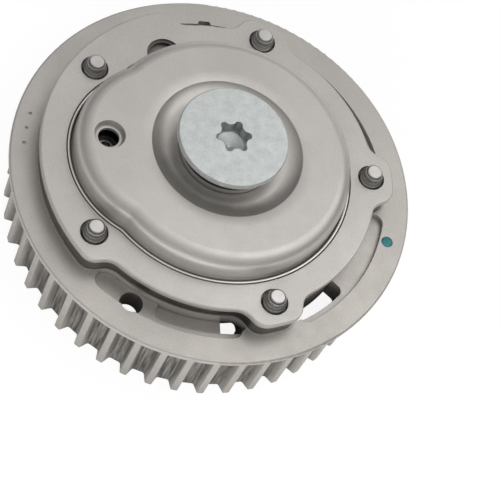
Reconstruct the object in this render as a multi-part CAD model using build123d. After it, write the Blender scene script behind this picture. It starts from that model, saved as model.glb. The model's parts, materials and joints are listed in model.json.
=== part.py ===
from build123d import *
from math import acos, asin, atan2, cos, degrees, pi, radians, sin, tan
import os

# Toothed belt gear for a camshaft with a hydraulic vane timing unit inside.
# Z is the shaft, the origin lies on it in the plane of the rim's rear face.
# Lengths in mm, angles in degrees.

# Belt rim
tooth_count = 46
tooth_pitch = 9.525
pitch_line_offset = 0.686
tooth_depth = 3.5
groove_mouth = 7.1
groove_floor = 4.2
tooth_tip_round = 0.5
tooth_root_round = 1.0
first_land_angle = 179.61
rim_width = 33.8
rim_bore_radius = 61.6
flange_radius = 72.34
flange_thickness = 2.4
flange_edge_round = 0.8
web_thickness = 11.5

# Pockets, slots and marks on the front face
pocket_depth = 2.0
pocket_radius = 63.1
pocket_width = 12.5
pocket_end_round = 3.5
pocket_spans = [(228.0, 280.0), (300.5, 353.0), (10.5, 65.0), (84.0, 106.0)]
slot_outer_radius = 61.0
slot_width = 10.5
slot_end_round = 2.5
slot_span = (297.0, 321.0)
recess_depth = 3.8
recess_outer_radius = 60.6
recess_span = (250.5, 281.5)
window_span = (273.5, 281.5)
through_hole_radius = 4.1
through_hole_circle = 60.0
through_hole_angle = 242.4
notch_angle = 94.0
notch_width = 5.2
notch_reach = 64.4
notch_depth = 5.0
notch_run_in = 2.0
punch_dots = [(-66.0, 14.0), (-67.0, 8.0), (-67.5, 2.0)]
punch_radius = 0.6
punch_depth = 0.4
paint_dimple = (63.5, -17.8)
paint_dimple_radius = 2.1
paint_dimple_depth = 0.3

# Screws
screw_count = 5
screw_circle = 55.1
first_screw_angle = 2.2
screw_radius = 4.0
screw_hole_play = 0.3
screw_point_radius = 3.2
screw_point_length = 2.0
screw_head_radius = 6.0
screw_head_height = 4.0
screw_socket_across = 6.0
screw_socket_depth = 2.4
screw_end_height = 4.4
screw_end_chamfer = 0.9
thread_pitch = 1.25
thread_depth = 0.62
thread_crest = 0.25
thread_length = 11.0
boss_radius = 7.0

# Chambers and rotor
ring_radius = 51.5
ring_rear = 20.0
seat_step = 0.5
seat_margin = 0.6
chamber_radius = 46.6
chamber_corner_round = 2.0
hub_radius = 27.0
running_play = 0.05
face_play = 0.03
rotor_travel = 22.5
stop_margin = 0.1
wing_angle = 182.2
wing_half_angle = 10.5
wing_corner_round = 2.6
vane_count = 4
vane_thickness = 3.2
vane_slot_play = 0.02
vane_slot_floor = 20.0
vane_clear_angle = 5.5
vane_spring_room = 1.0
vane_spring_sheet = 0.3
vane_spring_width = 2.6
vane_spring_length = 12.0
ring_notch_span = (272.0, 284.0)
ring_notch_radius = 49.4
ring_notch_round = 1.5

# Rotor's shaft ends
rear_journal_radius = 22.0
rear_recess = 3.0
pilot_bore_radius = 15.0
pilot_bore_depth = 5.0
bolt_bore_radius = 6.5
bolt_seat_height = 26.0
bolt_head_radius = 14.5
front_journal_radius = 26.0
spring_collar_radius = 24.0
spring_collar_height = 6.4
nose_radius = 17.0
nose_top = 58.3
nose_thread_radius = 14.9
nose_thread_depth = 8.5
oil_hole_radius = 1.5
oil_hole_circle = 11.0
oil_drill_radius = 1.2
oil_hole_swing = 12.0
wing_oil_swing = 13.5
oil_level_rear = 21.8
oil_level_front = 23.2
dowel_hole_radius = 2.0
dowel_hole_depth = 4.5
dowel_angle = 164.2

# Front plate, rear plate and rings
plate_lobe_wall = 7.2
plate_scallop_radius = 54.7
plate_thickness = 6.4
rear_plate_thickness = 4.0
rear_plate_radius = 50.8
rear_lobe_radius = 6.0
rear_lobe_blend = 5.0
groove_inner_radius = 47.0
groove_width = 1.7
groove_depth = 1.1
ring_wire = 1.5
seal_round_share = 0.35
shaft_ring_width = 1.8
shaft_ring_depth = 1.6
shaft_ring_play = 0.1
stator_dowel_radius = 2.0
stator_dowel_length = 9.0
stator_dowel_circle = 51.5
stator_dowel_angles = [38.2, 254.2]
stator_dowel_depth = 5.5

# Outline of cover and front plate: mid-flank angles of each lobe
outline_lobes = [(281.0, 299.4), (353.0, 371.4), (65.0, 83.4), (107.8, 227.5)]
outline_flank_angle = 2.25
outline_corner_round = 6.0

# Cover plate with the opening that traps the dome's flange
cover_lobe_overlap = 1.0
cover_scallop_radius = 56.6
cover_thickness = 2.2
cover_edge_round = 0.6
cover_hole_radius = 4.85
opening_gap = 2.1
rebate_play = 0.1

# Domed spring cover
dome_radius = 45.3
dome_height = 12.4
dome_sheet = 1.4
dome_shoulder_round = 5.0
dome_foot_round = 1.5
dome_flange = 3.1
flange_screw_gap = 6.0
bulge_radius = 33.4
bulge_offset = 18.8
bulge_blend = 4.0
dish_radius = 31.0
dish_lip_radius = 27.5
dish_floor_radius = 25.0
dish_depth = 2.5
nose_gap = 0.6
crescent_circle = 46.07
crescent_angle = 117.1
crescent_radius = 6.4
crescent_edge = 1.0
crescent_flange = 2.2
crescent_height = 1.9
dimple_radius = 5.4
dimple_depth = 2.3
dimple_slope = 0.8
dimple_hole_radius = 3.7

# Lock pin in the front plate, above the rotor's wing
lock_circle = 41.3
lock_pin_radius = 3.0
lock_pin_length = 6.5
lock_pin_rise = 2.1
lock_pin_wall = 0.7
lock_pin_floor = 2.0
lock_slide_play = 0.03
lock_boss_radius = 5.2
lock_boss_height = 3.3
lock_cap_radius = 4.2
lock_cap_thickness = 1.0
lock_cap_neck_radius = 2.6
lock_cap_neck_height = 1.0
lock_cap_vent_radius = 1.9
lock_spring_wire = 0.5
lock_spring_radius = 1.98
lock_spring_turns = 4.5
lock_seat_radius = 4.4
lock_seat_bore_radius = 3.2
lock_seat_depth = 8.0
lock_drain_radius = 1.5

# Bias spring under the dome
bias_wire_radius = 1.5
bias_coil_radius = 33.5
bias_coil_pitch = 3.1
bias_coil_turns = 1.15
bias_coil_lift = 0.8
bias_bend_radius = 2.5
bias_knee_run = 5.0
bias_hook_circle = 45.2
bias_leg_drop = 4.5
bias_leg_hole_play = 0.1
bias_inner_reach = 21.0
bias_slot_margin = 1.0

# Plug
plug_head_radius = 19.4
plug_head_height = 2.0
plug_head_chamfer = 0.4
plug_shank_length = 7.5
plug_ring_wire = 1.8
socket_lobe_count = 6
socket_tip_radius = 6.4
socket_root_radius = 4.75
socket_lobe_radius = 1.35
socket_root_round = 2.0
socket_phase = 11.0
socket_depth = 5.0
socket_cone_depth = 2.4

# Cutters run this far past the surface they cut; points closer than this count as one
overshoot = 1.0
touching = 0.01

# Levels along the shaft that follow from the sizes above
tip_radius = tooth_count * tooth_pitch / (2 * pi) - pitch_line_offset
root_radius = tip_radius - tooth_depth
web_rear = rim_width - web_thickness
flange_rear = rim_width - flange_thickness
seat_top = rim_width + seat_step
plate_top = seat_top + plate_thickness
cover_top = plate_top + cover_thickness
flange_top = plate_top + dome_sheet
dome_top = plate_top + dome_height
pocket_floor = rim_width - pocket_depth
rear_plate_rear = ring_rear - rear_plate_thickness
rotor_rear = ring_rear + face_play
rotor_front = seat_top - face_play
collar_top = plate_top + spring_collar_height
lock_pin_tip = seat_top + lock_pin_rise
lock_boss_top = plate_top + lock_boss_height
vane_tip_radius = chamber_radius - running_play
screw_hole_radius = screw_radius + screw_hole_play
plate_lobe_radius = screw_circle + plate_lobe_wall
cover_lobe_radius = plate_lobe_radius + cover_lobe_overlap
screw_angles = [first_screw_angle + k * 360 / screw_count for k in range(screw_count)]
vane_angles = [wing_angle + (k + 1) * 360 / (vane_count + 1) for k in range(vane_count)]


def at(radius, angle, z=0):
    """Point given by radius, angle and height."""
    return Vector(radius * cos(radians(angle)), radius * sin(radians(angle)), z)


def slab(face, low, high):
    """Solid between two heights over a flat outline."""
    return Pos(0, 0, low) * extrude(face, amount=high - low, dir=(0, 0, 1))


def disc(radius, low, high):
    """Round solid about the shaft between two heights."""
    return Pos(0, 0, low) * Cylinder(radius, high - low, align=(Align.CENTER, Align.CENTER, Align.MIN))


def peg(radius, circle, angle, low, high):
    """Round solid parallel to the shaft."""
    return Pos(*at(circle, angle)) * disc(radius, low, high)


def ring(outer, inner, low, high):
    """Tube about the shaft between two heights."""
    return disc(outer, low, high) - disc(inner, low, high)


def turned(points):
    """Solid of revolution about the shaft from (radius, height) corners."""
    return revolve(Plane.XZ * make_face(Polyline(*points, close=True)), Axis.Z)


def wedge(radius, start, end):
    """Flat sector from the shaft out to a radius."""
    return make_face([
        Line((0, 0), at(radius, start)),
        CenterArc((0, 0), radius, start, end - start),
        Line(at(radius, end), (0, 0)),
    ])


def band(inner, outer, start, end, corner=0):
    """Flat arc-shaped slot between two radii and two angles, corners rounded."""
    face = make_face([
        CenterArc((0, 0), inner, start, end - start),
        Line(at(inner, end), at(outer, end)),
        CenterArc((0, 0), outer, start, end - start),
        Line(at(outer, start), at(inner, start)),
    ])
    if corner:
        face = fillet(face.vertices(), corner)
    return face


def bore(part, radius, circle, angle, low, high):
    """The part with a hole parallel to the shaft."""
    return part - peg(radius, circle, angle, low, high)


def bored_at_screws(part, radius, low, high):
    """The part with a hole at every screw."""
    for angle in screw_angles:
        part = bore(part, radius, screw_circle, angle, low, high)
    return part


def lobed_outline(lobe_radius, scallop_radius):
    """Outline shared by cover, front plate and seat: lobes at the screws, scallops between."""
    edges = []
    for (start, end), (following, _) in zip(outline_lobes, outline_lobes[1:] + outline_lobes[:1]):
        foot_start = start - outline_flank_angle
        foot_end = end + outline_flank_angle
        lobe_start = start + outline_flank_angle
        lobe_end = end - outline_flank_angle
        gap = (following - outline_flank_angle - foot_end) % 360
        edges.append(Line(at(scallop_radius, foot_start), at(lobe_radius, lobe_start)))
        edges.append(CenterArc((0, 0), lobe_radius, lobe_start, lobe_end - lobe_start))
        edges.append(Line(at(lobe_radius, lobe_end), at(scallop_radius, foot_end)))
        edges.append(CenterArc((0, 0), scallop_radius, foot_end, gap))
    face = make_face(edges)
    return fillet(face.vertices(), outline_corner_round)


def rim_outline():
    """Toothed outline: one groove between two half lands, repeated round the rim."""
    step = 360 / tooth_count
    mouth = degrees(asin(groove_mouth / 2 / tip_radius))
    floor = degrees(asin(groove_floor / 2 / root_radius))
    sector = make_face([
        Line((0, 0), at(tip_radius, -step / 2)),
        CenterArc((0, 0), tip_radius, -step / 2, step / 2 - mouth),
        Line(at(tip_radius, -mouth), at(root_radius, -floor)),
        CenterArc((0, 0), root_radius, -floor, 2 * floor),
        Line(at(root_radius, floor), at(tip_radius, mouth)),
        CenterArc((0, 0), tip_radius, mouth, step / 2 - mouth),
        Line(at(tip_radius, step / 2), (0, 0)),
    ])
    middle = (root_radius + tip_radius) / 2
    roots = sector.vertices().filter_by(lambda v: touching < Vector(v).length < middle)
    sector = fillet(roots, tooth_root_round)
    tips = sector.vertices().filter_by(
        lambda v: Vector(v).length > middle and abs(v.Y) < groove_mouth / 2 + touching
    )
    sector = fillet(tips, tooth_tip_round)
    profile = [e for e in sector.edges() if min(Vector(v).length for v in e.vertices()) > touching]
    first = first_land_angle + step / 2
    edges = [e.rotate(Axis.Z, first + k * step) for k in range(tooth_count) for e in profile]
    return Face(Wire(edges))


def dome_outline(grow=0):
    """Round dome with the bulge over the lock pin."""
    main = dome_radius + grow
    side = bulge_radius + grow
    crossing = (bulge_offset**2 + main**2 - side**2) / (2 * bulge_offset)
    main_half = degrees(acos(crossing / main))
    side_half = degrees(acos((crossing - bulge_offset) / side))
    face = make_face([
        CenterArc((0, 0), main, main_half, 360 - 2 * main_half),
        CenterArc((bulge_offset, 0), side, -side_half, 2 * side_half),
    ])
    return Rot(0, 0, wing_angle) * fillet(face.vertices(), bulge_blend)


def dish_cutter(drop):
    """Solid that fills the dish round the nose, with an S-shaped wall from lip to floor."""
    lip = Vector(dish_radius, dome_top - drop)
    knee = Vector(dish_lip_radius, dome_top - dish_depth / 2 - drop)
    foot = Vector(dish_floor_radius, dome_top - dish_depth - drop)
    edges = [
        TangentArc(lip, knee, tangent=(-1, 0)),
        TangentArc(foot, knee, tangent=(1, 0)),
        Line(foot, (0, foot.Y)),
        Line((0, foot.Y), (0, lip.Y)),
        Line((0, lip.Y), lip),
    ]
    return revolve(Plane.XZ * make_face(edges), Axis.Z)


# Toothed pulley with its stator ring, one sintered piece
pulley = slab(rim_outline(), 0, flange_rear)
flange = disc(flange_radius, flange_rear, rim_width)
pulley += fillet(flange.edges().filter_by(GeomType.CIRCLE), flange_edge_round)
pulley -= disc(rim_bore_radius, 0, web_rear)
stator_ring = disc(ring_radius, ring_rear, web_rear)
for angle in screw_angles:
    stator_ring += peg(boss_radius, screw_circle, angle, ring_rear, web_rear)
pulley += stator_ring
seat_outline = lobed_outline(plate_lobe_radius + seat_margin, plate_scallop_radius + seat_margin)
pulley += slab(seat_outline, rim_width, seat_top)
for start, end in pocket_spans:
    pocket = band(pocket_radius - pocket_width, pocket_radius, start, end, pocket_end_round)
    pulley -= slab(pocket, pocket_floor, rim_width) - slab(seat_outline, pocket_floor, rim_width)
seat_wall = slab(seat_outline, 0, seat_top)
deep_recess = band(recess_outer_radius - slot_width, recess_outer_radius, *recess_span, slot_end_round)
pulley -= slab(deep_recess, rim_width - recess_depth, rim_width) - seat_wall
window = band(ring_notch_radius, recess_outer_radius, *window_span)
pulley -= slab(window, web_rear, rim_width - recess_depth)
slot = band(slot_outer_radius - slot_width, slot_outer_radius, *slot_span, slot_end_round)
pulley -= slab(slot, web_rear, rim_width) - seat_wall
pulley = bore(pulley, through_hole_radius, through_hole_circle, through_hole_angle, web_rear, rim_width)
notch_place = Rot(0, 0, notch_angle) * Pos(pocket_radius - notch_run_in, 0, rim_width)
notch_slope = notch_reach - pocket_radius
notch_face = make_face(Polyline(
    (0, -notch_width / 2 - notch_slope / 2),
    (notch_run_in + notch_slope, -notch_width / 2 + notch_slope / 2),
    (notch_run_in + notch_slope, notch_width / 2 - notch_slope / 2),
    (0, notch_width / 2 + notch_slope / 2),
    close=True,
))
pulley -= notch_place * extrude(notch_face, amount=notch_depth, dir=(0, 0, -1))
chamber = Sketch() + Circle(hub_radius + running_play)
chamber += wedge(chamber_radius, wing_angle - wing_half_angle - rotor_travel - stop_margin,
                 wing_angle + wing_half_angle + stop_margin)
for angle in vane_angles:
    chamber += wedge(chamber_radius, angle - rotor_travel - vane_clear_angle, angle + vane_clear_angle)
outer_corners = chamber.vertices().filter_by(lambda v: Vector(v).length > chamber_radius - touching)
chamber = fillet(outer_corners, chamber_corner_round)
pulley -= slab(chamber, ring_rear, seat_top)
pulley = bored_at_screws(pulley, screw_hole_radius, ring_rear, seat_top)
ring_notch = band(ring_notch_radius, rim_bore_radius, *ring_notch_span, ring_notch_round)
pulley -= slab(ring_notch, ring_rear, web_rear)
for angle in stator_dowel_angles:
    pulley = bore(pulley, stator_dowel_radius, stator_dowel_circle, angle,
                  seat_top - stator_dowel_depth, seat_top)
for x, y in punch_dots:
    pulley -= Pos(x, y, rim_width) * Cylinder(punch_radius, 2 * punch_depth)
pulley -= Pos(*paint_dimple, rim_width) * Cylinder(paint_dimple_radius, 2 * paint_dimple_depth)

# Front plate with the boss that guides the lock pin
plate = slab(lobed_outline(plate_lobe_radius, plate_scallop_radius), seat_top, plate_top)
plate += peg(lock_boss_radius, lock_circle, wing_angle, plate_top, lock_boss_top)
plate -= disc(front_journal_radius + running_play, seat_top, plate_top)
plate = bored_at_screws(plate, screw_radius, seat_top, plate_top)
plate = bore(plate, lock_pin_radius + lock_slide_play, lock_circle, wing_angle, seat_top, lock_boss_top)
cap_seat = lock_boss_top - lock_cap_thickness
plate = bore(plate, lock_cap_radius, lock_circle, wing_angle, cap_seat, lock_boss_top)
leg_level = plate_top + bias_wire_radius + bias_coil_lift
leg_end = leg_level - bias_leg_drop - bias_wire_radius
leg_hole_radius = bias_wire_radius + bias_leg_hole_play
plate = bore(plate, leg_hole_radius, bias_hook_circle, crescent_angle, leg_end, plate_top)
for angle in stator_dowel_angles:
    plate = bore(plate, stator_dowel_radius, stator_dowel_circle, angle,
                 seat_top, seat_top + stator_dowel_length - stator_dowel_depth)
groove_outer_radius = groove_inner_radius + groove_width
plate -= ring(groove_outer_radius, groove_inner_radius, seat_top, seat_top + groove_depth)

# Places of the lock pin and of the crescent hole
lock_place = Pos(*at(lock_circle, wing_angle))
crescent_place = Pos(*at(crescent_circle, crescent_angle))


def flange_outline(grow=0):
    """Dome flange, widened round the crescent hole and cleared at the screws."""
    face = dome_outline(dome_flange + grow)
    face += crescent_place * Circle(crescent_radius + crescent_flange + grow)
    for angle in screw_angles:
        face -= Pos(*at(screw_circle, angle)) * Circle(flange_screw_gap - grow)
    return face


# Cover plate
cover_plate = slab(lobed_outline(cover_lobe_radius, cover_scallop_radius), plate_top, cover_top)
cover_plate = fillet(cover_plate.faces().sort_by(Axis.Z)[-1].edges(), cover_edge_round)
cover_opening = dome_outline(opening_gap) + crescent_place * Circle(crescent_radius)
cover_plate -= slab(cover_opening, plate_top, cover_top)
cover_plate -= slab(flange_outline(rebate_play), plate_top, flange_top)
cover_plate = bored_at_screws(cover_plate, cover_hole_radius, plate_top, cover_top)

# Domed spring cover
dome = slab(dome_outline(), plate_top, dome_top)
dome = fillet(dome.faces().sort_by(Axis.Z)[-1].edges(), dome_shoulder_round)
cover = dome + slab(flange_outline(), plate_top, flange_top)
wall_line = Pos(0, 0, flange_top) * dome_outline().face().outer_wire()
foot = [
    e for e in cover.edges()
    if wall_line.distance_to(e @ 0) + wall_line.distance_to(e @ 0.5) < touching
]
cover = fillet(foot, dome_foot_round)
hollow = slab(dome_outline(-dome_sheet), plate_top, dome_top - dome_sheet)
hollow = fillet(hollow.faces().sort_by(Axis.Z)[-1].edges(), dome_shoulder_round - dome_sheet)
cover = cover - dish_cutter(0) - (hollow - dish_cutter(dome_sheet))
cover -= disc(nose_radius + nose_gap, plate_top, dome_top)
cover -= crescent_place * disc(crescent_radius - crescent_edge, plate_top, cover_top + crescent_height)
dimple_floor = dome_top - dimple_depth
dimple_foot = dimple_radius - dimple_slope
dimple = turned([
    (0, dome_top), (dimple_radius, dome_top),
    (dimple_foot, dimple_floor), (0, dimple_floor),
])
dimple_back = turned([
    (0, dome_top - dome_sheet), (dimple_radius + dome_sheet, dome_top - dome_sheet),
    (dimple_foot + dome_sheet, dimple_floor - dome_sheet), (0, dimple_floor - dome_sheet),
])
cover += lock_place * dimple_back
cover -= lock_place * dimple
cover = bore(cover, dimple_hole_radius, lock_circle, wing_angle, dimple_floor - dome_sheet, dome_top)

# Rear plate
rear_face = Sketch() + Circle(rear_plate_radius)
for angle in screw_angles:
    rear_face += Pos(*at(screw_circle, angle)) * Circle(rear_lobe_radius)
rear_face = fillet(rear_face.vertices().filter_by(
    lambda v: abs(Vector(v).length - rear_plate_radius) < touching), rear_lobe_blend)
rear_plate = slab(rear_face, rear_plate_rear, ring_rear)
rear_plate -= disc(rear_journal_radius + running_play, rear_plate_rear, ring_rear)
rear_plate = bored_at_screws(rear_plate, screw_hole_radius, rear_plate_rear, ring_rear)
rear_plate -= ring(groove_outer_radius, groove_inner_radius, ring_rear - groove_depth, ring_rear)
rear_plate -= slab(ring_notch, rear_plate_rear, ring_rear)

# Clamp screws: head behind the rear plate, thread in the front plate, point above the cover
screw_rear = rear_plate_rear - screw_head_height
screw_end = cover_top + screw_end_height - screw_point_length
thread_start = screw_end - thread_length
shank_radius = screw_radius - thread_depth
profile = [
    (0, screw_rear), (screw_head_radius, screw_rear), (screw_head_radius, rear_plate_rear),
    (screw_radius, rear_plate_rear), (screw_radius, thread_start - thread_depth),
    (shank_radius, thread_start),
]
turn_count = int((screw_end - thread_start - screw_end_chamfer) / thread_pitch)
flank = (thread_pitch - thread_crest) / 2
for k in range(turn_count):
    z = thread_start + k * thread_pitch
    profile += [(shank_radius, z), (screw_radius, z + flank), (screw_radius, z + flank + thread_crest)]
profile = [p for k, p in enumerate(profile) if k == 0 or p != profile[k - 1]]
profile += [
    (shank_radius, thread_start + turn_count * thread_pitch),
    (shank_radius, screw_end),
    (screw_point_radius, screw_end + shank_radius - screw_point_radius),
    (screw_point_radius, cover_top + screw_end_height - screw_end_chamfer),
    (screw_point_radius - screw_end_chamfer, cover_top + screw_end_height),
    (0, cover_top + screw_end_height),
]
screw = turned(profile)
hexagon = RegularPolygon(screw_socket_across / 2, 6, major_radius=False)
screw -= Pos(0, 0, screw_rear) * extrude(hexagon, amount=screw_socket_depth)
screws = [Pos(*at(screw_circle, angle)) * screw for angle in screw_angles]

# Rotor with its wing, shaft ends and nose
rotor_face = Circle(hub_radius) + wedge(vane_tip_radius, wing_angle - wing_half_angle,
                                        wing_angle + wing_half_angle)
wing_corners = rotor_face.vertices().filter_by(lambda v: Vector(v).length > vane_tip_radius - touching)
rotor_face = fillet(wing_corners, wing_corner_round)
rotor = slab(rotor_face, rotor_rear, rotor_front)
rotor += disc(rear_journal_radius, rear_recess, rotor_rear)
rotor += disc(front_journal_radius, rotor_front, plate_top)
rotor += disc(spring_collar_radius, plate_top, collar_top)
rotor += disc(nose_radius, collar_top, nose_top)
pilot_seat = rear_recess + pilot_bore_depth
rotor -= disc(pilot_bore_radius, rear_recess, pilot_seat)
rotor -= disc(bolt_bore_radius, pilot_seat, bolt_seat_height)
rotor -= disc(bolt_head_radius, bolt_seat_height, nose_top)
rotor -= disc(nose_thread_radius, nose_top - nose_thread_depth, nose_top)
rotor_height = rotor_front - rotor_rear
for angle in vane_angles:
    slot_length = hub_radius - vane_slot_floor + overshoot
    slot_box = Box(slot_length, vane_thickness + 2 * vane_slot_play, rotor_height,
                   align=(Align.MIN, Align.CENTER, Align.MIN))
    rotor -= Rot(0, 0, angle) * Pos(vane_slot_floor, 0, rotor_rear) * slot_box
for angle in [wing_angle] + vane_angles:
    swing = wing_oil_swing if angle == wing_angle else oil_hole_swing
    for side, level in ((swing, oil_level_rear), (-swing, oil_level_front)):
        drill = Rot(0, 90, 0) * Cylinder(oil_drill_radius, hub_radius - oil_hole_circle + overshoot)
        drill_middle = (hub_radius + oil_hole_circle + overshoot) / 2
        rotor -= Rot(0, 0, angle + side) * Pos(drill_middle, 0, level) * drill
        rotor = bore(rotor, oil_hole_radius, oil_hole_circle, angle + side,
                     pilot_seat, level + 2 * oil_drill_radius)
lock_seat_low = rotor_front - lock_seat_depth
rotor = bore(rotor, lock_seat_radius, lock_circle, wing_angle, lock_seat_low, rotor_front)
rotor = bore(rotor, lock_drain_radius, lock_circle, wing_angle, rotor_rear, rotor_front)
ring_level_front = (seat_top + plate_top - shaft_ring_width) / 2
ring_level_rear = (rear_plate_rear + ring_rear - shaft_ring_width) / 2
rotor -= ring(front_journal_radius, front_journal_radius - shaft_ring_depth,
              ring_level_front, ring_level_front + shaft_ring_width)
rotor -= ring(rear_journal_radius, rear_journal_radius - shaft_ring_depth,
              ring_level_rear, ring_level_rear + shaft_ring_width)
rotor = bore(rotor, dowel_hole_radius, oil_hole_circle, dowel_angle, pilot_seat,
             pilot_seat + dowel_hole_depth)

# Bias spring: outer leg in the front plate, coil under the dome, inner leg in the collar's slot
leg_swing = degrees(acos(bias_coil_radius / bias_hook_circle))
coil_start = crescent_angle + leg_swing
coil_height = bias_coil_turns * bias_coil_pitch
coil = Helix(bias_coil_pitch, coil_height, bias_coil_radius)
coil_path = Rot(0, 0, coil_start) * Pos(0, 0, leg_level) * coil
hook = coil_path @ 0 - (coil_path % 0) * bias_coil_radius * tan(radians(leg_swing))
leg_foot = hook - Vector(0, 0, bias_leg_drop)
outer_leg = FilletPolyline(leg_foot, hook, coil_path @ 0, radius=bias_bend_radius)
knee = coil_path @ 1 + (coil_path % 1) * bias_knee_run
leg_angle = degrees(atan2(knee.Y, knee.X))
leg_tip = at(bias_inner_reach, leg_angle, knee.Z)
inner_leg = FilletPolyline(coil_path @ 1, knee, leg_tip, radius=bias_bend_radius)
bias_path = Wire(outer_leg.edges() + coil_path.edges() + inner_leg.edges())
bias_spring = sweep(Plane(outer_leg @ 0, z_dir=outer_leg % 0) * Circle(bias_wire_radius), path=bias_path)
slot_swing = degrees(asin((bias_wire_radius + bias_slot_margin) / bias_inner_reach))
collar_slot = wedge(front_journal_radius, leg_angle - slot_swing, leg_angle + slot_swing + rotor_travel)
slot_bottom = knee.Z - bias_wire_radius - bias_slot_margin
rotor -= slab(collar_slot, slot_bottom, collar_top) - disc(nose_radius, slot_bottom, collar_top)

# Vanes and their leaf springs
vane_root = vane_slot_floor + vane_spring_room
vane_height = rotor_height - 2 * vane_slot_play
vane_box = Box(vane_tip_radius - vane_root, vane_thickness, vane_height,
               align=(Align.MIN, Align.CENTER, Align.CENTER))
vane = Pos(vane_root, 0, 0) * vane_box & Cylinder(vane_tip_radius, vane_height)
mid_level = (rotor_rear + rotor_front) / 2
half_leaf = vane_spring_length / 2
bow = vane_spring_room - vane_spring_sheet
leaf_inner = ThreePointArc((0, -half_leaf), (bow, 0), (0, half_leaf))
leaf_outer = ThreePointArc(
    (vane_spring_sheet, -half_leaf), (vane_spring_room, 0), (vane_spring_sheet, half_leaf),
)
leaf_ends = [Line(leaf_inner @ k, leaf_outer @ k) for k in (0, 1)]
leaf_face = make_face([leaf_inner, leaf_outer, *leaf_ends])
leaf = extrude(Plane.XZ * leaf_face, amount=vane_spring_width / 2, both=True)
vanes = []
vane_springs = []
for angle in vane_angles:
    vanes.append(Rot(0, 0, angle) * Pos(0, 0, mid_level) * vane)
    vane_springs.append(Rot(0, 0, angle) * Pos(vane_slot_floor, 0, mid_level) * leaf)

# Lock pin with spring, cap and seat
lock_pin = disc(lock_pin_radius, lock_pin_tip, lock_pin_tip + lock_pin_length)
lock_pin = chamfer(lock_pin.edges().sort_by(Axis.Z)[0], lock_pin_wall)
pin_floor = lock_pin_tip + lock_pin_floor
lock_pin -= disc(lock_pin_radius - lock_pin_wall, pin_floor, lock_pin_tip + lock_pin_length)
lock_pin = lock_place * lock_pin
lock_cap = disc(lock_cap_radius, cap_seat, lock_boss_top)
lock_cap += disc(lock_cap_neck_radius, lock_boss_top, lock_boss_top + lock_cap_neck_height)
lock_cap -= disc(lock_cap_vent_radius, cap_seat, lock_boss_top + lock_cap_neck_height)
lock_cap = lock_place * lock_cap
spring_low = pin_floor + lock_spring_wire / 2
spring_high = cap_seat - lock_spring_wire / 2
lock_path = Pos(0, 0, spring_low) * Helix((spring_high - spring_low) / lock_spring_turns,
                                          spring_high - spring_low, lock_spring_radius)
lock_section = Plane(lock_path @ 0, z_dir=lock_path % 0) * Circle(lock_spring_wire / 2)
lock_spring = lock_place * sweep(lock_section, path=lock_path)
lock_seat = lock_place * ring(lock_seat_radius, lock_seat_bore_radius, lock_seat_low, rotor_front)

# Seal rings, dowels
ring_middle = groove_inner_radius + groove_width / 2
wire_span = (ring_middle - ring_wire / 2, ring_middle + ring_wire / 2)


def seal_ring(low, high, inner, outer):
    """Squashed rubber ring that fills the height between two faces."""
    width, height = outer - inner, high - low
    section = RectangleRounded(width, height, min(width, height) * seal_round_share)
    return revolve(Plane.XZ * Pos((inner + outer) / 2, (low + high) / 2) * section, Axis.Z)


front_seal = seal_ring(seat_top, seat_top + groove_depth, *wire_span)
rear_seal = seal_ring(ring_rear - groove_depth, ring_rear, *wire_span)
front_shaft_ring = seal_ring(ring_level_front + shaft_ring_play / 2,
                             ring_level_front + shaft_ring_width - shaft_ring_play / 2,
                             front_journal_radius - shaft_ring_depth, front_journal_radius)
rear_shaft_ring = seal_ring(ring_level_rear + shaft_ring_play / 2,
                            ring_level_rear + shaft_ring_width - shaft_ring_play / 2,
                            rear_journal_radius - shaft_ring_depth, rear_journal_radius)
stator_dowels = [
    peg(stator_dowel_radius, stator_dowel_circle, angle, seat_top - stator_dowel_depth,
        seat_top - stator_dowel_depth + stator_dowel_length)
    for angle in stator_dowel_angles
]

# Closing plug with its socket and seal
plug_face = Sketch() + Circle(socket_root_radius)
for k in range(socket_lobe_count):
    lobe_middle = at(socket_tip_radius - socket_lobe_radius, socket_phase + k * 360 / socket_lobe_count)
    plug_face += Pos(*lobe_middle) * Circle(socket_lobe_radius)
plug_face = fillet(plug_face.vertices(), socket_root_round)
plug_top = nose_top + plug_head_height
plug = disc(plug_head_radius, nose_top, plug_top)
plug = chamfer(plug.edges().filter_by(GeomType.CIRCLE).sort_by(Axis.Z)[-1], plug_head_chamfer)
plug += disc(nose_thread_radius, nose_top - plug_shank_length, nose_top)
plug_ring_inner = nose_thread_radius - plug_ring_wire
plug_ring_low = nose_top - plug_ring_wire
plug -= ring(nose_thread_radius, plug_ring_inner, plug_ring_low, nose_top)
plug -= slab(plug_face, plug_top - socket_depth, plug_top)
plug -= turned([
    (0, plug_top - socket_depth), (socket_root_radius, plug_top - socket_depth),
    (0, plug_top - socket_depth - socket_cone_depth),
])
plug_seal = seal_ring(plug_ring_low, nose_top, plug_ring_inner, nose_thread_radius)

nodes = {
    "toothed_stator": pulley,
    "front_plate": plate,
    "cover_plate": cover_plate,
    "spring_cover": cover,
    "rear_plate": rear_plate,
    "clamp_screws": Compound(children=screws),
    "front_seal": front_seal,
    "rear_seal": rear_seal,
    "stator_dowels": Compound(children=stator_dowels),
    "bias_spring": bias_spring,
    "lock_cap": lock_cap,
    "lock_spring": lock_spring,
    "lock_pin": lock_pin,
    "rotor": rotor,
    "lock_seat": lock_seat,
    "front_shaft_ring": front_shaft_ring,
    "rear_shaft_ring": rear_shaft_ring,
    "closing_plug": plug,
    "plug_seal": plug_seal,
}
for k in range(vane_count):
    nodes[f"vane_{k + 1}"] = vanes[k]
    nodes[f"vane_spring_{k + 1}"] = vane_springs[k]

os.makedirs("parts", exist_ok=True)
for name, shape in nodes.items():
    export_step(shape, f"parts/{name}.step")
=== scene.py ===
import json
import math
import random

import bpy
from mathutils import Matrix, Vector


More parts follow.
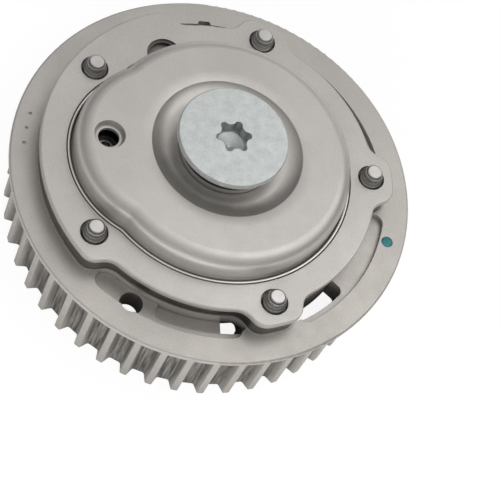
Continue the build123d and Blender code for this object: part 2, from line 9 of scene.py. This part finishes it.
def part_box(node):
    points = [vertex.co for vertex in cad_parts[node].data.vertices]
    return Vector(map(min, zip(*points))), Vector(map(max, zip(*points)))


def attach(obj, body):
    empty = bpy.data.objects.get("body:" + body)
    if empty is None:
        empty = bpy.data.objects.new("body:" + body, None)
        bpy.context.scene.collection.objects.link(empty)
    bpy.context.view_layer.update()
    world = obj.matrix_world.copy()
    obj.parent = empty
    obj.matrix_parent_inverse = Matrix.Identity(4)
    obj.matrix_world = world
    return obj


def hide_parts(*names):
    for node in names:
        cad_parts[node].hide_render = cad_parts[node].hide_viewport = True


MM = 0.001
random.seed(7)

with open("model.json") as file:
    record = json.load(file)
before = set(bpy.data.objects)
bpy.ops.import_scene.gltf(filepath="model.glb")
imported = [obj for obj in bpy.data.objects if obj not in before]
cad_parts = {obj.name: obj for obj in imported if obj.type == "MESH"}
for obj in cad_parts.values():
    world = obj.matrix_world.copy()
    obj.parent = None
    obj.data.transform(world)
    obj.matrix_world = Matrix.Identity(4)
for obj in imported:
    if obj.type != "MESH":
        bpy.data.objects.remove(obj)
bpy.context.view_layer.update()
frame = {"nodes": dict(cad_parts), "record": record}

# Sizes in mm and angles in degrees, as in the CAD
COVER_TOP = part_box("cover_plate")[1][2] / MM
FLANGE_TOP = COVER_TOP - 0.8
SCREW_END = COVER_TOP + 4.4
DOME_RADIUS = 45.3
BULGE_RADIUS = 33.4
BULGE_OFFSET = 18.8
BULGE_ANGLE = 182.2
DISH_RADIUS = 31.0
CRESCENT_ANGLE = 117.1


def fill_ramp(node, stops):
    """Set a colour ramp's stops, each a place with a grey or a colour."""
    elements = node.color_ramp.elements
    while len(elements) < len(stops):
        elements.new(0.5)
    for element, (place, colour) in zip(elements, stops):
        element.position = place
        if not isinstance(colour, (tuple, list)):
            colour = (colour, colour, colour)
        element.color = (*colour[:3], 1)


class Shader:
    """A material's node tree, with short calls for the nodes used here."""

    def __init__(self, name):
        self.material = bpy.data.materials.new(name)
        self.material.use_nodes = True
        self.nodes = self.material.node_tree.nodes
        self.links = self.material.node_tree.links
        self.nodes.clear()
        self.out = self.add("ShaderNodeOutputMaterial")
        self.coords = self.add("ShaderNodeTexCoord").outputs["Object"]

    def add(self, kind, **inputs):
        node = self.nodes.new(kind)
        for key, value in inputs.items():
            self.put(node.inputs[key.replace("_", " ")], value)
        return node

    def put(self, socket, value):
        if isinstance(value, bpy.types.NodeSocket):
            self.links.new(value, socket)
        else:
            socket.default_value = value

    def noise(self, size_mm, detail=3.0, rough=0.55, stretch=None):
        """Noise with features of about that size in millimetres."""
        vector = self.coords
        if stretch:
            mapping = self.add("ShaderNodeMapping", Vector=self.coords)
            mapping.inputs["Scale"].default_value = stretch
            vector = mapping.outputs[0]
        node = self.add("ShaderNodeTexNoise", Vector=vector, Scale=1 / (size_mm * MM),
                        Detail=detail, Roughness=rough)
        return node.outputs["Fac"]

    def ramp(self, fac, stops):
        node = self.add("ShaderNodeValToRGB", Fac=fac)
        fill_ramp(node, stops)
        return node.outputs["Color"]

    def mix(self, fac, a, b, how="MIX"):
        node = self.nodes.new("ShaderNodeMix")
        node.data_type = "RGBA"
        node.blend_type = how
        self.put(node.inputs[0], fac)
        for socket, value in ((node.inputs[6], a), (node.inputs[7], b)):
            if isinstance(value, (tuple, list)):
                value = (*value[:3], 1)
            self.put(socket, value)
        return node.outputs[2]

    def range(self, value, low, high, to_low, to_high):
        node = self.nodes.new("ShaderNodeMapRange")
        for socket, item in zip(node.inputs, (value, low, high, to_low, to_high)):
            self.put(socket, item)
        return node.outputs[0]

    def maths(self, how, a, b=0.0):
        node = self.nodes.new("ShaderNodeMath")
        node.operation = how
        self.put(node.inputs[0], a)
        self.put(node.inputs[1], b)
        return node.outputs[0]

    def rounded(self, radius_mm):
        """Normal with soft edges."""
        return self.add("ShaderNodeBevel", Radius=radius_mm * MM).outputs[0]

    def edges(self, radius_mm, low=0.94, high=0.999):
        """1 on worn edges and corners, 0 on plain faces."""
        bevel = self.rounded(radius_mm)
        geometry = self.add("ShaderNodeNewGeometry")
        dot = self.nodes.new("ShaderNodeVectorMath")
        dot.operation = "DOT_PRODUCT"
        self.put(dot.inputs[0], bevel)
        self.put(dot.inputs[1], geometry.outputs["Normal"])
        return self.range(dot.outputs["Value"], low, high, 1.0, 0.0)

    def hollows(self, reach_mm):
        """1 in the open, less in corners and pockets."""
        node = self.add("ShaderNodeAmbientOcclusion", Distance=reach_mm * MM)
        node.samples = 8
        return node.outputs["AO"]

    def height(self):
        return self.add("ShaderNodeSeparateXYZ", Vector=self.coords).outputs["Z"]

    def band(self, value, low_mm, high_mm, to_low, to_high):
        """Like range, for a length given in millimetres."""
        return self.range(value, low_mm * MM, high_mm * MM, to_low, to_high)

    def groove_dirt_and_shade(self):
        """Streaky dirt and painted shade between the teeth, darkest deep under the tips, outside the
        bore, below the flange.
        """
        x, y, z = self.add("ShaderNodeSeparateXYZ", Vector=self.coords).outputs
        square_sum = self.maths("ADD", self.maths("MULTIPLY", x, x), self.maths("MULTIPLY", y, y))
        radius = self.maths("SQRT", square_sum)
        depth = self.band(radius, 65.5, 68.9, 1.0, 0.0)
        outside = self.band(radius, 64.5, 65.2, 0.0, 1.0)
        below = self.band(z, 31.0, 31.6, 1.0, 0.0)
        streaks = self.ramp(self.noise(0.9, 4.0, 0.65, (1, 1, 0.07)), [(0.33, 0.2), (0.64, 0.95)])
        share = self.maths("MULTIPLY", self.maths("MULTIPLY", depth, outside), below)
        return self.maths("MULTIPLY", share, streaks)

    def bump(self, height, strength, distance_mm, normal):
        node = self.add("ShaderNodeBump", Strength=strength, Distance=distance_mm * MM,
                        Height=height, Normal=normal)
        return node.outputs[0]

    def surface(self, **inputs):
        node = self.add("ShaderNodeBsdfPrincipled", **inputs)
        self.links.new(node.outputs[0], self.out.inputs["Surface"])
        return self.material


def satin_metal(name, light, dark, rough, grain_mm=0.4, grain=0.15, cloud_mm=30.0, edge_light=0.08,
                dirt_and_shade=(0.06, 0.056, 0.052), shade_share=0.45, shade_reach=2.0, grooves=False,
                edge_mm=0.25, speck=0.25, metallic=1.0, contrast=0.2, shaded_from=None,
                shaded_below=None, rings=()):
    """Satin metal: soft clouds, fine grain, dark specks, brighter worn edges and painted shade in
    corners.

    shaded_from and shaded_below paint shade above or below a height in mm. Each ring is a painted dark
    line of shade at a height, with its half width and its share of the dark colour.
    """
    s = Shader(name)
    tone = s.ramp(s.noise(cloud_mm, 3.0, 0.5), [(0.35, dark), (0.65, light)])
    fine = s.noise(grain_mm, 2.0, 0.6)
    tone = s.mix(contrast, tone, s.ramp(fine, [(0.25, 0.35), (0.75, 0.66)]), "OVERLAY")
    if grooves:
        # Streaky dirt and painted shade deep in the belt grooves
        tone = s.mix(s.groove_dirt_and_shade(), tone, dirt_and_shade)
    spots = s.ramp(s.noise(0.9, 4.0, 0.7), [(0.68, 0.0), (0.74, 1.0)])
    tone = s.mix(s.maths("MULTIPLY", spots, speck), tone, dirt_and_shade)
    wear = s.ramp(s.noise(3.0), [(0.35, 0.25), (0.6, 1.0)])
    worn = tuple(min(1.0, c + edge_light) for c in light)
    tone = s.mix(s.maths("MULTIPLY", s.edges(edge_mm), wear), tone, worn)
    # Painted shade: darker in corners and pockets, where less light reaches
    tone = s.mix(s.range(s.hollows(shade_reach), 0.3, 0.9, shade_share, 0.0), tone, dirt_and_shade)
    # Painted shade below a height
    if shaded_below:
        low = s.band(s.height(), shaded_below - 0.3, shaded_below + 0.5, 0.85, 0.0)
        tone = s.mix(low, tone, dirt_and_shade)
    # Painted dark lines of shade at given heights
    for level, half_width, share in rings:
        away = s.maths("ABSOLUTE", s.maths("SUBTRACT", s.height(), level * MM))
        tone = s.mix(s.band(away, half_width / 2, half_width, share, 0.0), tone, dirt_and_shade)
    # Painted shade above a height
    if shaded_from:
        high = s.band(s.height(), shaded_from - 0.4, shaded_from + 0.3, 0.0, 0.95)
        tone = s.mix(high, tone, dirt_and_shade)
    roughness = s.range(s.noise(5.0, 4.0, 0.6), 0.3, 0.7, rough - 0.04, rough + 0.05)
    normal = s.bump(fine, grain, 0.06, s.rounded(edge_mm))
    return s.surface(Base_Color=tone, Metallic=metallic, Roughness=roughness, Normal=normal)


def rubber(name):
    s = Shader(name)
    tone = s.ramp(s.noise(1.5), [(0.3, 0.012), (0.7, 0.03)])
    normal = s.bump(s.noise(0.3), 0.2, 0.05, s.rounded(0.1))
    return s.surface(Base_Color=tone, Roughness=0.6, Normal=normal)


def teal_paint(name):
    s = Shader(name)
    tone = s.ramp(s.noise(1.2, 4.0), [(0.3, (0.012, 0.13, 0.15)), (0.7, (0.03, 0.24, 0.26))])
    normal = s.bump(s.noise(0.8), 0.3, 0.1, s.rounded(0.1))
    return s.surface(Base_Color=tone, Roughness=0.4, Normal=normal)


# Tones that several metals share, light before dark
stamped = dict(light=(0.58, 0.555, 0.525), dark=(0.53, 0.505, 0.475), rough=0.4, grain_mm=0.35,
               grain=0.12, shade_share=0.5, shade_reach=0.9, metallic=0.8, contrast=0.35)
# Painted shade: dark lines in the thread grooves near the screw ends
screw_rings = [(SCREW_END - drop, 0.24, 0.8) for drop in (0.5, 1.25, 2.0, 3.25)]

pulley_steel = satin_metal("pulley_steel", (0.56, 0.53, 0.495), (0.5, 0.475, 0.445), 0.46, 0.45,
                           0.25, shade_share=0.5, shade_reach=1.0, grooves=True, speck=0.4,
                           metallic=0.85, contrast=0.4)
cover_steel = satin_metal("cover_steel", **stamped)
# The front plate's dark steel, painted darker still: painted shade on its wall under the cover
dark_steel = satin_metal("dark_steel", (0.25, 0.242, 0.23), (0.18, 0.174, 0.165), 0.45, 0.5, 0.2)
# The dome's steel, with painted shade on its flange below the cover plate's top, around the bead
dome_steel = satin_metal("dome_steel", shaded_below=COVER_TOP - 0.2, **stamped)
screw_steel = satin_metal("screw_steel", (0.69, 0.675, 0.65), (0.58, 0.565, 0.54), 0.36, 0.3, 0.2,
                          cloud_mm=6.0, shade_reach=2.2, shade_share=0.75, rings=screw_rings)
plated_steel = satin_metal("plated_steel", (0.68, 0.705, 0.7), (0.6, 0.625, 0.62), 0.5, 0.7, 0.3,
                           cloud_mm=3.0, speck=0.35, contrast=0.5)
pin_steel = satin_metal("pin_steel", (0.6, 0.59, 0.575), (0.5, 0.49, 0.475), 0.3, 0.3, 0.1,
                        cloud_mm=4.0)
spring_steel = satin_metal("spring_steel", (0.3, 0.3, 0.3), (0.2, 0.2, 0.2), 0.35, 0.3, 0.15,
                           cloud_mm=5.0)
# The rotor's steel, with near-black painted shade on the nose above 53.2 mm, under the plug's head
rotor_steel = satin_metal("rotor_steel", (0.5, 0.485, 0.465), (0.42, 0.405, 0.39), 0.3, 0.4, 0.15,
                          dirt_and_shade=(0.01, 0.01, 0.01), shade_share=0.3, shaded_from=53.2)
# The bead's steel, painted far lighter than the cover's: a painted highlight along the bead
bead_highlight_steel = satin_metal("bead_highlight_steel", (0.88, 0.86, 0.83), (0.8, 0.78, 0.75), 0.3, 0.35, 0.1,
                         shade_share=0.0)
seal_rubber = rubber("seal_rubber")
dot_paint = teal_paint("dot_paint")

finish = {
    "sintered_steel": pulley_steel, "cover_steel": cover_steel, "dark_steel": dark_steel,
    "screw_steel": screw_steel, "plated_steel": plated_steel, "pin_steel": pin_steel,
    "spring_steel": spring_steel, "rotor_steel": rotor_steel, "vane_steel": pin_steel,
    "seal_rubber": seal_rubber,
}
for part in frame["record"]["subparts"]:
    node = frame["nodes"][part["node"]]
    node.data.materials.clear()
    node.data.materials.append(finish[part["material_slot"]])


def strips(rings, sides):
    """Quads between neighbouring rings of vertices."""
    for ring in range(rings - 1):
        for k in range(sides):
            a, b = ring * sides + k, ring * sides + (k + 1) % sides
            yield a, b, b + sides, a + sides


def add_piece(name, verts, faces, material, normals=None):
    """Smooth mesh from vertices in metres, riding on the pulley."""
    mesh = bpy.data.meshes.new(name)
    mesh.from_pydata(verts, [], faces)
    mesh.shade_smooth()
    if normals:
        mesh.normals_split_custom_set(normals)
    mesh.materials.append(material)
    piece = bpy.data.objects.new(name, mesh)
    bpy.context.scene.collection.objects.link(piece)
    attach(piece, "pulley")
    return piece


def dish_profile():
    """Radius, drop and slope down the dish: wide lip, tight bend to 42 degrees, hollow foot."""
    arc_steps, floor_end = 8, 17.1
    profile = [(DISH_RADIUS, 0.003, 0.0)]
    for bend, start, end in ((28.7, 0.0, 8.2), (0.5, 8.2, 42.0), (8.11, 42.0, 0.0)):
        for k in range(arc_steps):
            a = math.radians(start + (end - start) * k / arc_steps)
            b = math.radians(start + (end - start) * (k + 1) / arc_steps)
            radius, drop, _ = profile[-1]
            inward = bend * abs(math.sin(b) - math.sin(a))
            down = bend * abs(math.cos(a) - math.cos(b))
            profile.append((radius - inward, drop + down, b))
    profile.append((floor_end, profile[-1][1], 0.0))
    return profile


def dished_cover():
    """Spring cover with the dish's crisp lip and curved wall, in place of the plain node."""
    plain = frame["nodes"]["spring_cover"]
    place, old = plain.matrix_world, plain.data
    turn = place.to_3x3()
    verts = [place @ v.co for v in old.vertices]
    top = max(v.z for v in verts)
    faces, normals = [], []
    for face in old.polygons:
        middle = place @ face.center
        sunken = min(verts[k].z for k in face.vertices) < top - 0.001 * MM
        facing_up = (turn @ face.normal).z > 0.05
        if facing_up and sunken and math.hypot(middle.x, middle.y) < DISH_RADIUS * MM:
            continue
        faces.append(tuple(face.vertices))
        normals += [turn @ old.corner_normals[k].vector for k in face.loop_indices]
    profile = dish_profile()
    sides, first = 144, len(verts)
    leans = []
    for radius, drop, slope in profile:
        for k in range(sides):
            x, y = math.cos(math.tau * k / sides), math.sin(math.tau * k / sides)
            verts.append(Vector((radius * MM * x, radius * MM * y, top - drop * MM)))
            leans.append(Vector((-math.sin(slope) * x, -math.sin(slope) * y, math.cos(slope))))
    for corners in strips(len(profile), sides):
        faces.append(tuple(first + c for c in corners))
        normals += [leans[c] for c in corners]
    piece = add_piece("dished_cover", verts, faces, dome_steel, normals)
    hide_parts("spring_cover")


def dome_reach(angle, grow):
    """Distance in mm from the shaft to the dome's wall, where dome and bulge meet in a soft corner."""
    main, side, corner = DOME_RADIUS + grow, BULGE_RADIUS + grow, 0.28
    phi = angle - math.radians(BULGE_ANGLE)
    reach = side**2 - (BULGE_OFFSET * math.sin(phi))**2
    bulge = BULGE_OFFSET * math.cos(phi) + math.sqrt(max(reach, 0.0))
    share = max(corner - abs(main - bulge), 0.0) / corner
    return max(main, bulge) + share * share * corner / 4


def foot_bead():
    """Bead on the dome's flange, in the cover plate's opening, tapered at the crescent hole."""
    radius, from_wall, half_gap, tip_share, taper_steps = 0.5, 1.3, 8.6, 0.2, 9
    sides, steps = 12, 360
    level = FLANGE_TOP + radius
    start = math.radians(CRESCENT_ANGLE + half_gap)
    end = math.radians(CRESCENT_ANGLE + 360 - half_gap)
    verts = []
    for k in range(steps + 1):
        angle = start + (end - start) * k / steps
        size = radius * min(1.0, tip_share + min(k, steps - k) / taper_steps)
        for j in range(sides):
            turn = math.tau * j / sides
            r = dome_reach(angle, from_wall) + size * math.cos(turn)
            z = level + size * math.sin(turn)
            verts.append(Vector((r * math.cos(angle), r * math.sin(angle), z)) * MM)
    faces = [(a, d, c, b) for a, b, c, d in strips(steps + 1, sides)]
    faces.append(tuple(range(sides)))
    faces.append(tuple(steps * sides + j for j in reversed(range(sides))))
    add_piece("foot_bead", verts, faces, bead_highlight_steel)


def paint_dot():
    """Blob of paint in its dimple on the flange."""
    centre, radius, low, high = Vector((63.5, -17.8, 0)), 2.0, 33.52, 33.9
    sides = 40
    rings = ((1.0, 0.0), (0.97, 0.55), (0.8, 0.9), (0.5, 1.0))
    wobble = []
    for k in range(sides):
        wave = 0.05 * math.sin(2 * math.tau * k / sides + 1)
        wobble.append(1 + wave + random.uniform(-0.015, 0.015))
    verts = []
    for share, lift in rings:
        z = low + (high - low) * lift
        for k in range(sides):
            angle = math.tau * k / sides
            r = radius * share * wobble[k]
            verts.append((centre + Vector((r * math.cos(angle), r * math.sin(angle), z))) * MM)
    verts.append((centre + Vector((0, 0, high))) * MM)
    faces = list(strips(len(rings), sides))
    last = (len(rings) - 1) * sides
    faces += [(last + k, last + (k + 1) % sides, len(verts) - 1) for k in range(sides)]
    faces.append(tuple(reversed(range(sides))))
    add_piece("paint_dot", verts, faces, dot_paint)


dished_cover()
foot_bead()
paint_dot()

# Floor, seen white, still taking the shadow
floor_shader = Shader("floor")
path = floor_shader.add("ShaderNodeLightPath").outputs
seen = floor_shader.maths("MAXIMUM", path["Is Camera Ray"], path["Is Transmission Ray"])
matt = floor_shader.add("ShaderNodeBsdfDiffuse", Color=(0.9, 0.9, 0.9, 1))
glow = floor_shader.add("ShaderNodeEmission", Color=(1, 1, 1, 1), Strength=1.04)
glow_share = floor_shader.maths("MULTIPLY", seen, 0.88)
blend = floor_shader.add("ShaderNodeMixShader", Fac=glow_share)
floor_shader.links.new(matt.outputs[0], blend.inputs[1])
floor_shader.links.new(glow.outputs[0], blend.inputs[2])
floor_shader.links.new(blend.outputs[0], floor_shader.out.inputs["Surface"])
bpy.ops.mesh.primitive_plane_add(size=6)
floor = bpy.context.object
floor.name = "floor"
floor.location.z = -0.02 * MM
floor.data.materials.append(floor_shader.material)

# World: white to the eye, a light ceiling above a dark horizon to the metal
world = bpy.data.worlds.new("world")
bpy.context.scene.world = world
world.use_nodes = True
tree = world.node_tree
tree.nodes.clear()
output = tree.nodes.new("ShaderNodeOutputWorld")
mixer = tree.nodes.new("ShaderNodeMixShader")
light_path = tree.nodes.new("ShaderNodeLightPath")
dome = tree.nodes.new("ShaderNodeBackground")
dome.inputs["Strength"].default_value = 0.96
white = tree.nodes.new("ShaderNodeBackground")
white.inputs["Strength"].default_value = 1.0
white.inputs["Color"].default_value = (1, 1, 1, 1)
direction = tree.nodes.new("ShaderNodeTexCoord")
ceiling = tree.nodes.new("ShaderNodeVectorMath")
ceiling.operation = "DOT_PRODUCT"
ceiling.inputs[1].default_value = Vector((0.12, 0.08, 0.98)).normalized()
ramp = tree.nodes.new("ShaderNodeValToRGB")
fill_ramp(ramp, ((0.0, 0.2), (0.38, 0.27), (0.62, 0.52), (0.86, 0.68), (0.965, 0.98)))
tree.links.new(direction.outputs["Generated"], ceiling.inputs[0])
tree.links.new(ceiling.outputs["Value"], ramp.inputs["Fac"])
tree.links.new(ramp.outputs["Color"], dome.inputs["Color"])
tree.links.new(light_path.outputs["Is Camera Ray"], mixer.inputs["Fac"])
tree.links.new(dome.outputs[0], mixer.inputs[1])
tree.links.new(white.outputs[0], mixer.inputs[2])
tree.links.new(mixer.outputs[0], output.inputs["Surface"])


def softbox(name, place_mm, size_mm, power, target_mm=(0, 0, 35), mirrored=True):
    """Soft area light; where it isn't mirrored, metal shows only the floor that it lights."""
    data = bpy.data.lights.new(name, "AREA")
    data.shape = "RECTANGLE"
    data.size = size_mm[0] * MM
    data.size_y = size_mm[1] * MM
    data.energy = power
    lamp = bpy.data.objects.new(name, data)
    lamp.location = Vector(place_mm) * MM
    aim = (Vector(target_mm) - Vector(place_mm)).to_track_quat("-Z", "Y")
    lamp.rotation_euler = aim.to_euler()
    lamp.visible_glossy = mirrored
    bpy.context.scene.collection.objects.link(lamp)


softbox("key_light", (360, 60, 620), (600, 600), 0.9)
softbox("front_light", (-150, -620, 200), (500, 200), 4.0, (0, -260, 0), mirrored=False)
softbox("back_light", (330, 640, 130), (900, 260), 0.5)

# Camera placed as the photo's
right = Vector((0.9630, 0.0, 0.2694))
back = Vector((-0.2382, -0.4671, 0.8515)).normalized()
right = (right - back * right.dot(back)).normalized()
up = back.cross(right)
place = Vector((-135.2, -318.8, 563.5)) * MM
camera_data = bpy.data.cameras.new("camera")
camera_data.sensor_width = 36
camera_data.lens = 129.56
camera = bpy.data.objects.new("camera", camera_data)
camera.matrix_world = Matrix((
    (right.x, up.x, back.x, place.x),
    (right.y, up.y, back.y, place.y),
    (right.z, up.z, back.z, place.z),
    (0, 0, 0, 1),
))
bpy.context.scene.collection.objects.link(camera)
bpy.context.scene.camera = camera
bpy.context.scene.view_settings.view_transform = "Standard"
